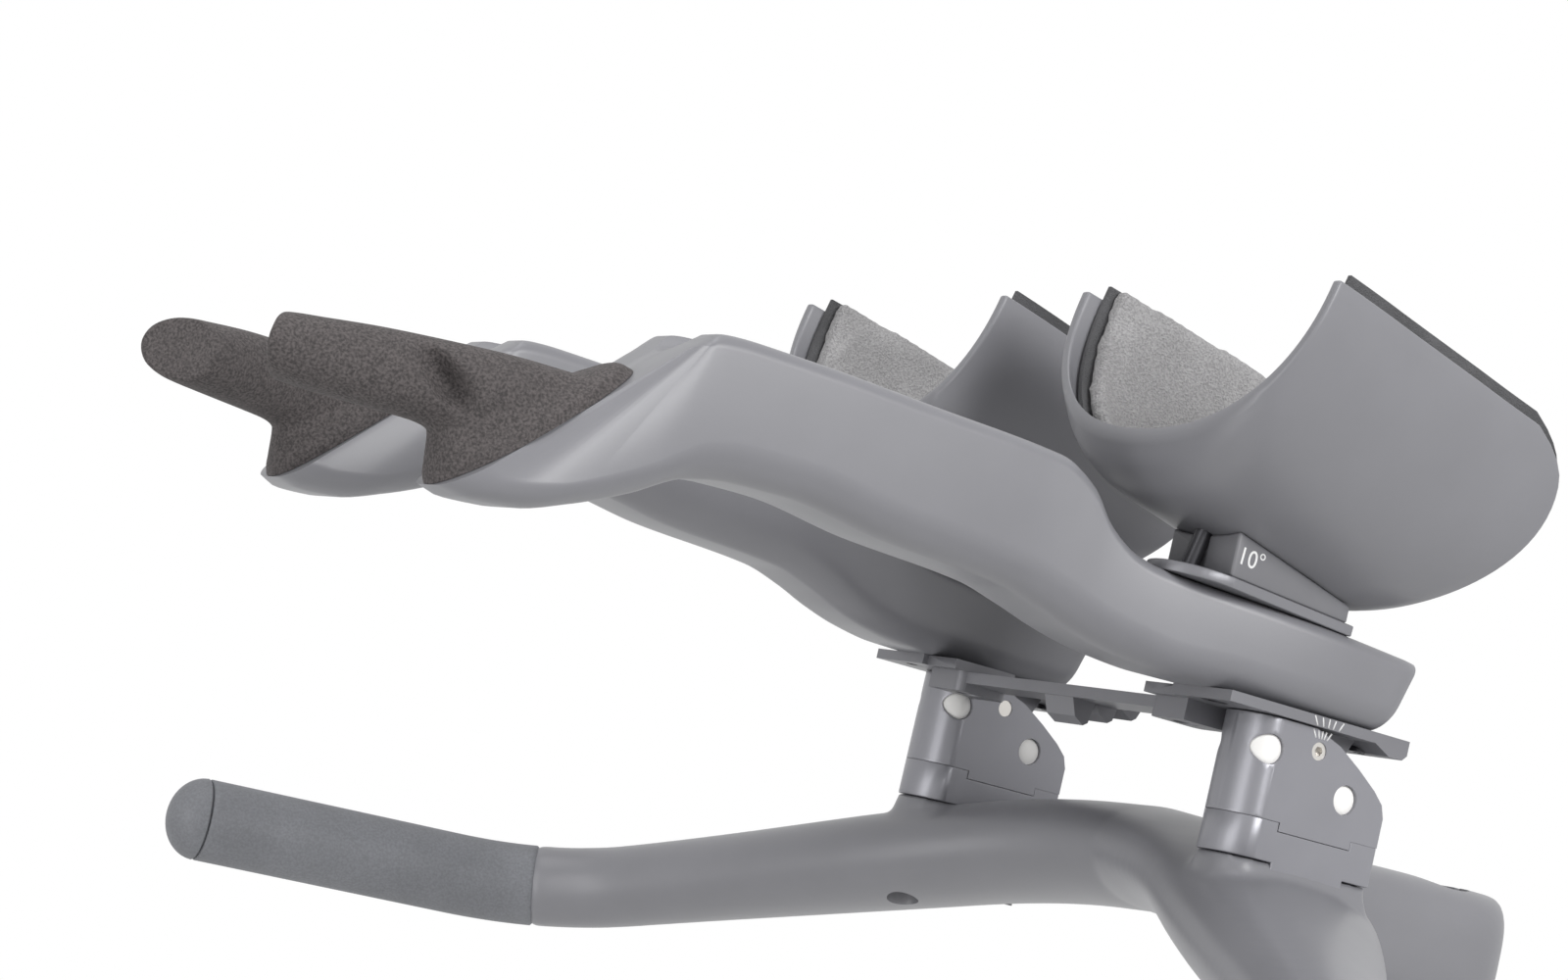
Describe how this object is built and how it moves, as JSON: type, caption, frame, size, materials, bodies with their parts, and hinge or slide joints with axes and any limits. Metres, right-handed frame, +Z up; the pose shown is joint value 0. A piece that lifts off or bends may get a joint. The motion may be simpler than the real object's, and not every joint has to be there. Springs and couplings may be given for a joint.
{
  "type": "bullhorn handlebar",
  "caption": "Swept bullhorn base bar with its stem, carrying tilting time-trial extensions with grips and padded arm cups on keyed risers.",
  "frame": {"origin": "middle of the steerer clamp's bore", "axes": "+X forward along the level bicycle, +Y to the rider's left, +Z up; the bore leans back 15.5 degrees"},
  "size_m": [0.4237, 0.4758, 0.2278],
  "materials": {
    "carbon_shell": "satin painted carbon shell, smooth",
    "anodised_alloy": "satin grey anodised, machined",
    "sleeve_rubber": "smooth dull sleeve",
    "grip_rubber": "matte, fine grain",
    "moulded_plastic": "satin moulded wedge",
    "pad_fabric": "knitted cover over foam",
    "black_steel": "black oxide",
    "bright_steel": "turned, bright"
  },
  "bodies": {
    "base": {"base_bar": "carbon_shell", "clamp_bolts": "black_steel", "bar_sleeve_left": "sleeve_rubber", "bar_sleeve_right": "sleeve_rubber", "bar_plug_left": "sleeve_rubber", "bar_plug_right": "sleeve_rubber", "riser_spacer_left": "anodised_alloy", "riser_spacer_right": "anodised_alloy", "riser_bracket_left": "anodised_alloy", "riser_bracket_right": "anodised_alloy", "riser_bolts_left": "black_steel", "riser_bolts_right": "black_steel", "pivot_pin_left": "bright_steel", "pivot_pin_right": "bright_steel"},
    "extensions": {"bridge": "anodised_alloy", "bridge_bolts": "black_steel", "extension_left": "carbon_shell", "extension_right": "carbon_shell", "arm_cup_left": "carbon_shell", "arm_cup_right": "carbon_shell", "cup_base_left": "anodised_alloy", "cup_base_right": "anodised_alloy", "tilt_plate_left": "anodised_alloy", "tilt_plate_right": "anodised_alloy", "cup_wedge_left": "moulded_plastic", "cup_wedge_right": "moulded_plastic", "plate_bolts_left": "black_steel", "plate_bolts_right": "black_steel", "cup_bolts_left": "black_steel", "cup_bolts_right": "black_steel", "grip_left": "grip_rubber", "grip_right": "grip_rubber", "arm_pad_left": "pad_fabric", "arm_pad_right": "pad_fabric"}
  },
  "joints": [
    {"name": "extension_tilt", "type": "hinge", "parent": "base", "child": "extensions", "pos_m": [0.10757, 0, 0.07238], "axis": [0, -1, 0], "range_deg": [0, 20]}
  ]
}
